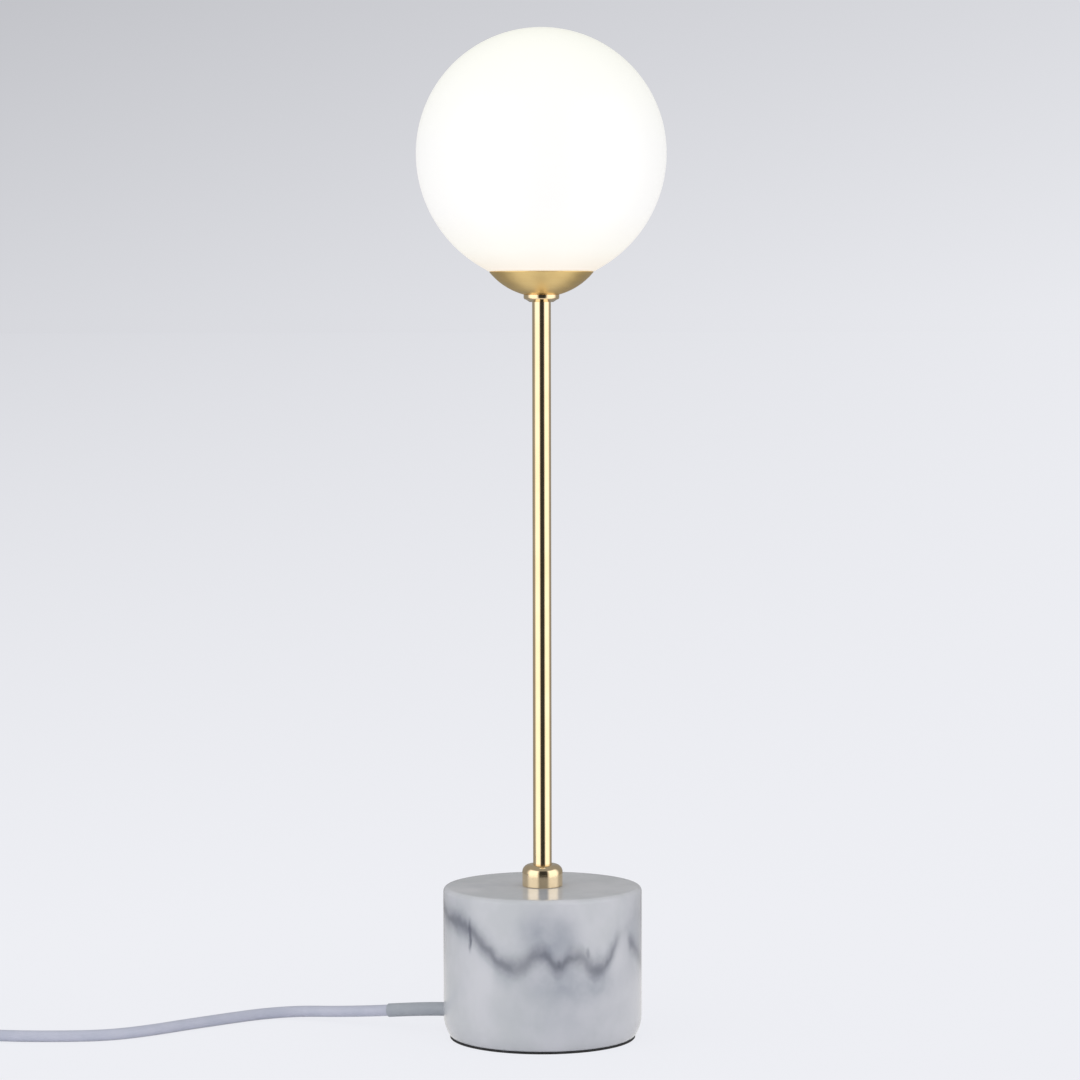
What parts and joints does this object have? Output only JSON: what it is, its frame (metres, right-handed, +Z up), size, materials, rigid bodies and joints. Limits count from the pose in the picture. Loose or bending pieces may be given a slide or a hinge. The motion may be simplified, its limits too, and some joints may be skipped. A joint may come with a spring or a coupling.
{
  "type": "glass globe table lamp",
  "caption": "Table lamp with an opal glass globe in a spun cup, on a slim straight stem over a round stone base, with a corded rocker switch.",
  "frame": {"origin": "on the table, under the middle of the base", "axes": "+Z up the stem; the lamp's front faces -Y and the cord leaves at the back left, towards -X"},
  "size_m": [0.4472, 0.1206, 0.4056],
  "materials": {
    "opal_glass": "satin opal, lit from inside",
    "clear_glass": "clear",
    "satin_brass": "satin spun",
    "polished_brass": "polished",
    "marble": "polished, grey veined",
    "pad_foam": "matte foam",
    "zinc_steel": "zinc plated",
    "turned_brass": "turned",
    "socket_ceramic": "unglazed",
    "contact_brass": "pressed",
    "seal_silicone": "soft translucent",
    "bulb_plastic": "gloss",
    "light_strip": "phosphor, lit",
    "pin_wire": "bright wire",
    "core_brown_pvc": "smooth",
    "core_blue_pvc": "smooth",
    "cord_pvc": "smooth pale grey",
    "sleeve_grey": "matte",
    "clamp_nylon": "matte",
    "switch_plastic": "fine texture",
    "rocker_plastic": "gloss",
    "tie_nylon": "matte",
    "plug_plastic": "fine texture",
    "plug_pin_nickel": "nickel plated",
    "pin_sleeve_plastic": "matte"
  },
  "bodies": {
    "lamp": {"base_pad": "pad_foam", "marble_base": "marble", "threaded_rod": "zinc_steel", "clamp_plate": "zinc_steel", "base_lock_washer": "zinc_steel", "base_nut": "zinc_steel", "cord_clamp": "clamp_nylon", "cord_clamp_screws": "zinc_steel", "base_collar": "polished_brass", "stem_tube": "polished_brass", "stem_nipple": "zinc_steel", "neck_disc": "polished_brass", "globe_cup": "satin_brass", "cup_lock_washer": "zinc_steel", "cup_nut": "zinc_steel", "globe_carrier": "turned_brass", "holder_bracket": "zinc_steel", "holder_nut": "zinc_steel", "lampholder": "socket_ceramic", "lampholder_screws": "zinc_steel", "contact_left": "contact_brass", "contact_right": "contact_brass", "core_brown": "core_brown_pvc", "core_blue": "core_blue_pvc", "cord_sleeve": "sleeve_grey", "cord_lead": "cord_pvc", "switch_lower": "switch_plastic", "switch_upper": "switch_plastic", "rocker_pin": "zinc_steel", "switch_terminal_front": "contact_brass", "switch_terminal_back": "contact_brass", "switch_terminal_screws": "zinc_steel", "switch_case_screws": "zinc_steel", "switch_through_core": "core_blue_pvc", "switch_live_cores": "core_brown_pvc", "cord_link": "cord_pvc", "cord_coil": "cord_pvc", "cord_tail": "cord_pvc", "cord_tie": "tie_nylon", "plug_body": "plug_plastic", "plug_pins": "plug_pin_nickel", "plug_pin_sleeves": "pin_sleeve_plastic"},
    "seal": {"globe_seal": "seal_silicone"},
    "globe": {"globe": "opal_glass"},
    "bulb": {"bulb_base": "bulb_plastic", "bulb_envelope": "clear_glass", "bulb_core": "light_strip", "bulb_pin_left": "pin_wire", "bulb_pin_right": "pin_wire"},
    "rocker": {"switch_rocker": "rocker_plastic", "switch_bridge": "contact_brass"}
  },
  "joints": [
    {"name": "globe_turn", "type": "hinge", "parent": "lamp", "child": "seal", "pos_m": [0, 0, 0.3053], "axis": [0, 0, 1], "range_deg": [0, 480]},
    {"name": "globe_rise", "type": "slide", "parent": "seal", "child": "globe", "axis": [0, 0, 1], "range_m": [0, 0.004]},
    {"name": "bulb_pull", "type": "slide", "parent": "lamp", "child": "bulb", "axis": [0, 0, 1], "range_m": [0, 0.015]},
    {"name": "switch_rock", "type": "hinge", "parent": "lamp", "child": "rocker", "pos_m": [-0.29, -0.012, 0.0105], "axis": [0, -1, 0], "range_deg": [0, 16]}
  ],
  "couplings": [
    {"joint": "globe_rise", "follows": "globe_turn", "m_per_rad": 0.00047746}
  ]
}
